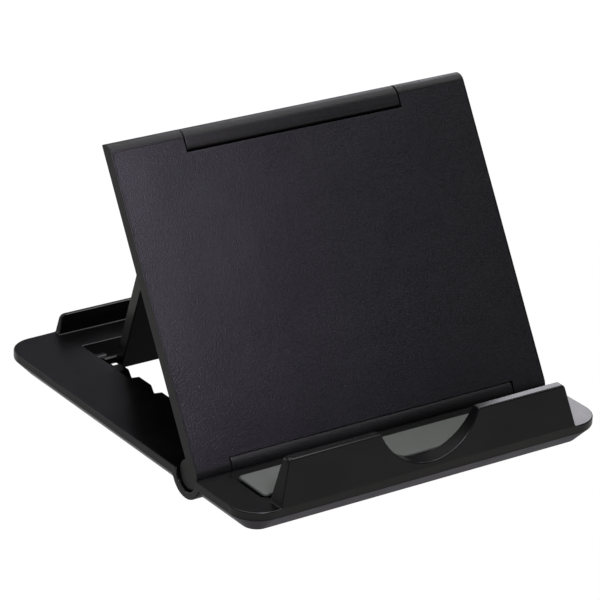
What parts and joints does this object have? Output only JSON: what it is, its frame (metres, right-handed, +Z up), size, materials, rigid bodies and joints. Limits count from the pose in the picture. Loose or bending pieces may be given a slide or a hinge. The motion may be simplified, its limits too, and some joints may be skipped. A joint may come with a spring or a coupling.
{
  "type": "phone stand",
  "caption": "Folding desk stand for a phone or tablet: plate base with front lip, hinged backrest and a strut that stands in a toothed window.",
  "frame": {"origin": "on the desk, under the middle of the base plate", "axes": "+X to the device's right as seen from the front, +Y from the front lip to the back, +Z up"},
  "size_m": [0.12, 0.128, 0.0873],
  "materials": {
    "satin_plastic": "satin black moulded plastic",
    "grained_plastic": "finely grained purple-black plastic",
    "pad_rubber": "smooth grey rubber",
    "foot_rubber": "matte black rubber",
    "pin_steel": "plain steel pin"
  },
  "bodies": {
    "base": {"base_frame": "satin_plastic", "ledge_pad": "pad_rubber", "rubber_foot_1": "foot_rubber", "rubber_foot_2": "foot_rubber", "rubber_foot_3": "foot_rubber", "rubber_foot_4": "foot_rubber"},
    "backrest": {"backrest_frame": "satin_plastic", "backrest_panel": "grained_plastic", "lower_hinge_pin_left": "pin_steel", "lower_hinge_pin_right": "pin_steel", "upper_hinge_pin_left": "pin_steel", "upper_hinge_pin_right": "pin_steel"},
    "strut": {"strut": "satin_plastic"}
  },
  "joints": [
    {"name": "backrest_fold", "type": "hinge", "parent": "base", "child": "backrest", "pos_m": [0, -0.0339, 0.00765], "axis": [1, 0, 0], "range_deg": [-57.2, 0]},
    {"name": "strut_fold", "type": "hinge", "parent": "backrest", "child": "strut", "pos_m": [0, 0.0099, 0.08398], "axis": [1, 0, 0], "range_deg": [-48.3, 0]}
  ],
  "couplings": [
    {"joint": "strut_fold", "follows": "backrest_fold", "ratio": 0.8427}
  ]
}
